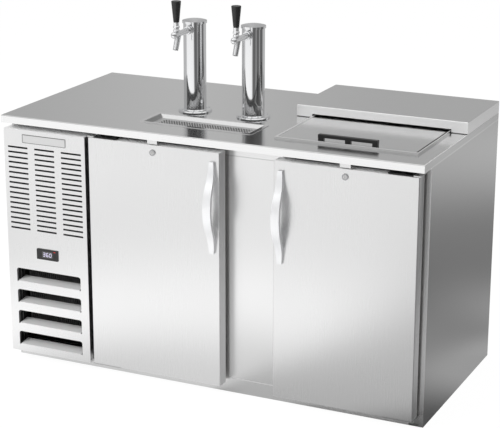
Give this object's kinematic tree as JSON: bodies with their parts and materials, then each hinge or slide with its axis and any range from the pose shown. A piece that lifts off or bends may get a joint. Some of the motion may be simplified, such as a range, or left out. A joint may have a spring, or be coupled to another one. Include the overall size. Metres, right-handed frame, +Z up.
{
  "type": "draft beer cooler",
  "caption": "Low refrigerated cabinet with hinged doors, draft towers with lever faucets, a drip tray, a sliding top lid and a louvred machine bay.",
  "frame": {"origin": "on the floor, at the centre of the cabinet's footprint under the worktop", "axes": "+X to the right as seen from the front, -Y towards the front, +Z up"},
  "size_m": [1.499, 0.79, 1.273],
  "materials": {
    "base_zinc": "galvanised, matt",
    "side_steel": "brushed",
    "liner_white": "white, satin",
    "rubber": "black, matt",
    "worktop_steel": "brushed",
    "door_steel": "brushed, pale",
    "chrome": "polished",
    "valve_steel": "satin",
    "black_plastic": "black, satin",
    "machine_black": "black, semi-gloss",
    "fin_aluminium": "mill",
    "fan_plastic": "black, matt"
  },
  "bodies": {
    "cabinet": {"base_pan": "base_zinc", "rear_wall": "base_zinc", "rear_grille": "base_zinc", "left_side_panel": "side_steel", "right_wall": "side_steel", "mullion": "side_steel", "front_rails": "side_steel", "bulkhead": "liner_white", "insulated_floor": "liner_white", "insulated_ceiling": "liner_white", "evaporator_cover": "liner_white", "power_gland": "rubber", "worktop": "worktop_steel", "hood": "worktop_steel", "lid_track": "worktop_steel", "drip_tray": "worktop_steel", "drip_grille": "worktop_steel", "front_grille": "door_steel", "strikes": "door_steel", "tower_left": "chrome", "tower_right": "chrome", "tower_cap_left": "chrome", "tower_cap_right": "chrome", "shank_left": "chrome", "shank_right": "chrome", "faucet_nuts": "chrome", "faucet_body_left": "chrome", "faucet_body_right": "chrome", "faucet_bonnets": "chrome", "drain_fitting": "chrome", "hinge_brackets": "valve_steel", "controller": "black_plastic", "compressor": "machine_black", "condenser_motor": "machine_black", "evaporator_motor": "machine_black", "condenser_shroud": "machine_black", "condenser_coil": "fin_aluminium", "evaporator_coil": "fin_aluminium"},
    "door_left": {"door_left": "door_steel", "door_gasket_left": "rubber", "door_handle_left": "chrome", "lock_barrel_left": "chrome"},
    "door_right": {"door_right": "door_steel", "door_gasket_right": "rubber", "door_handle_right": "chrome", "lock_barrel_right": "chrome"},
    "key_left": {"lock_plug_left": "chrome"},
    "key_right": {"lock_plug_right": "chrome"},
    "lid": {"lid": "worktop_steel", "lid_handle": "black_plastic"},
    "lever_left": {"faucet_lever_left": "chrome", "tap_handle_left": "black_plastic"},
    "lever_right": {"faucet_lever_right": "chrome", "tap_handle_right": "black_plastic"},
    "shaft_left": {"faucet_shaft_left": "valve_steel"},
    "shaft_right": {"faucet_shaft_right": "valve_steel"},
    "button_set": {"button_set": "black_plastic"},
    "button_up": {"button_up": "black_plastic"},
    "condenser_fan": {"condenser_fan": "fan_plastic"},
    "evaporator_fan": {"evaporator_fan": "fan_plastic"}
  },
  "joints": [
    {"name": "door_left_hinge", "type": "hinge", "parent": "cabinet", "child": "door_left", "pos_m": [-0.4055, -0.351, 0.4367], "axis": [0, 0, -1], "range_deg": [0, 110]},
    {"name": "door_right_hinge", "type": "hinge", "parent": "cabinet", "child": "door_right", "pos_m": [0.7175, -0.351, 0.4367], "axis": [0, 0, 1], "range_deg": [0, 110]},
    {"name": "key_left_turn", "type": "hinge", "parent": "door_left", "child": "key_left", "pos_m": [-0.179, -0.365, 0.8094], "axis": [0, 1, 0], "range_deg": [0, 90]},
    {"name": "key_right_turn", "type": "hinge", "parent": "door_right", "child": "key_right", "pos_m": [0.491, -0.365, 0.8094], "axis": [0, 1, 0], "range_deg": [0, 90]},
    {"name": "lid_slide", "type": "slide", "parent": "cabinet", "child": "lid", "axis": [0, 1, 0], "range_m": [0, 0.272]},
    {"name": "lever_left_tip", "type": "hinge", "parent": "cabinet", "child": "lever_left", "pos_m": [-0.18725, -0.1725, 1.179], "axis": [1, 0, 0], "range_deg": [0, 30]},
    {"name": "lever_right_tip", "type": "hinge", "parent": "cabinet", "child": "lever_right", "pos_m": [0.02925, -0.1725, 1.179], "axis": [1, 0, 0], "range_deg": [0, 30]},
    {"name": "shaft_left_slide", "type": "slide", "parent": "cabinet", "child": "shaft_left", "axis": [0, 1, 0], "range_m": [0, 0.0076]},
    {"name": "shaft_right_slide", "type": "slide", "parent": "cabinet", "child": "shaft_right", "axis": [0, 1, 0], "range_m": [0, 0.0076]},
    {"name": "button_set_press", "type": "slide", "parent": "cabinet", "child": "button_set", "axis": [0, 1, 0], "range_m": [0, 0.0008], "stiffness_N_per_m": 100},
    {"name": "button_up_press", "type": "slide", "parent": "cabinet", "child": "button_up", "axis": [0, 1, 0], "range_m": [0, 0.0008], "stiffness_N_per_m": 100},
    {"name": "condenser_fan_spin", "type": "hinge", "parent": "cabinet", "child": "condenser_fan", "pos_m": [-0.597, -0.155, 0.197], "axis": [0, 1, 0], "continuous": true},
    {"name": "evaporator_fan_spin", "type": "hinge", "parent": "cabinet", "child": "evaporator_fan", "pos_m": [-0.3, 0.1, 0.665], "axis": [1, 0, 0], "continuous": true}
  ],
  "couplings": [
    {"joint": "shaft_left_slide", "follows": "lever_left_tip", "m_per_rad": 0.0143},
    {"joint": "shaft_right_slide", "follows": "lever_right_tip", "m_per_rad": 0.0143}
  ]
}
